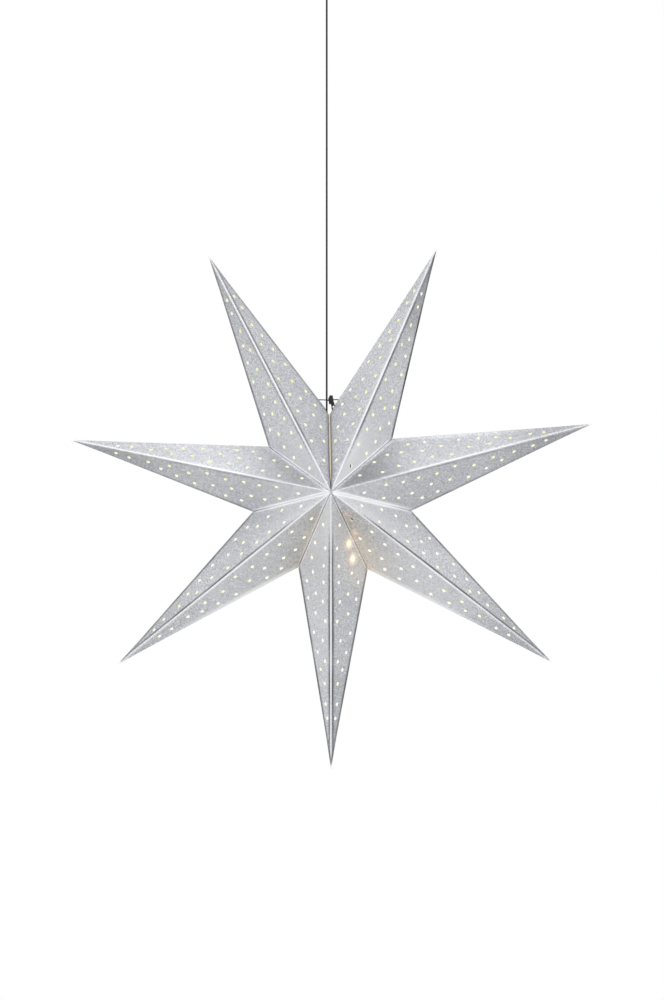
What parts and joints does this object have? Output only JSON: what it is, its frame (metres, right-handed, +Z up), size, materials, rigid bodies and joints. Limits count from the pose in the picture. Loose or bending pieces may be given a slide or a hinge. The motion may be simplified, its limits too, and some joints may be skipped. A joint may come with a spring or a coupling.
{
  "type": "star pendant light",
  "caption": "Pendant light with a folded silver paper star shade, punched with small holes, on a flat cord from a ceiling rose, with a lamp holder and bulb inside.",
  "frame": {"origin": "middle of the two ceiling screw holes, on the bracket's upper face, where it meets the ceiling", "axes": "+Z up towards the ceiling, -Y out of the star's front as the picture shows it, +X to the right of that view"},
  "size_m": [0.7345, 0.192, 1.1575],
  "materials": {
    "silver_paper": "silver glitter face, white inside",
    "tie_string": "matt twisted string",
    "black_cord": "satin",
    "core_insulation": "satin",
    "black_plastic": "satin",
    "white_plastic": "satin",
    "steel": "zinc plated",
    "brass": "plain",
    "ceramic": "plain",
    "nickel": "nickel plated",
    "dark_glass": "gloss",
    "clear_glass": "clear",
    "filament": "glowing"
  },
  "bodies": {
    "ceiling": {"ceiling_bracket": "steel", "ceiling_cup": "black_plastic", "cup_screws": "steel", "cord_grip": "black_plastic", "grip_nut": "black_plastic", "grip_screw": "black_plastic", "cord_clamp": "white_plastic", "clamp_screws": "steel", "terminal_block": "white_plastic", "terminal_tubes": "brass", "terminal_screws": "steel", "block_screw": "steel", "ceiling_cores": "core_insulation", "cord_stub": "black_cord"},
    "bend": {"cord_bend": "black_cord"},
    "cord": {"cord": "black_cord"},
    "star": {"star_point_1": "silver_paper", "star_point_2": "silver_paper", "star_point_3": "silver_paper", "star_point_4": "silver_paper", "star_point_5": "silver_paper", "star_point_6": "silver_paper", "star_point_7": "silver_paper", "tie": "tie_string", "cord_tail": "black_cord", "holder_cap": "black_plastic", "holder_skirt": "black_plastic", "holder_insert": "ceramic", "holder_terminal_screws": "steel", "screw_shell": "brass", "centre_contact": "brass", "holder_nipple": "black_plastic", "holder_nut": "black_plastic", "holder_grip_screw": "black_plastic", "holder_cores": "core_insulation"},
    "bulb": {"bulb_glass": "clear_glass", "bulb_cap": "nickel", "bulb_contact": "nickel", "bulb_insulator": "dark_glass", "bulb_stem": "clear_glass", "filaments": "filament", "filament_supports": "steel"}
  },
  "joints": [
    {"name": "swing_front", "type": "hinge", "parent": "ceiling", "child": "bend", "pos_m": [0, 0, -0.063], "axis": [1, 0, 0], "range_deg": [-15, 15]},
    {"name": "swing_side", "type": "hinge", "parent": "bend", "child": "cord", "pos_m": [0, 0, -0.063], "axis": [0, 1, 0], "range_deg": [-15, 15]},
    {"name": "star_turn", "type": "hinge", "parent": "cord", "child": "star", "pos_m": [0, 0, -0.625], "axis": [0, 0, 1], "range_deg": [-180, 180], "stiffness_Nm_per_rad": 0.001},
    {"name": "bulb_out", "type": "slide", "parent": "star", "child": "bulb", "axis": [0, 0, -1], "range_m": [0, 0.026]}
  ]
}
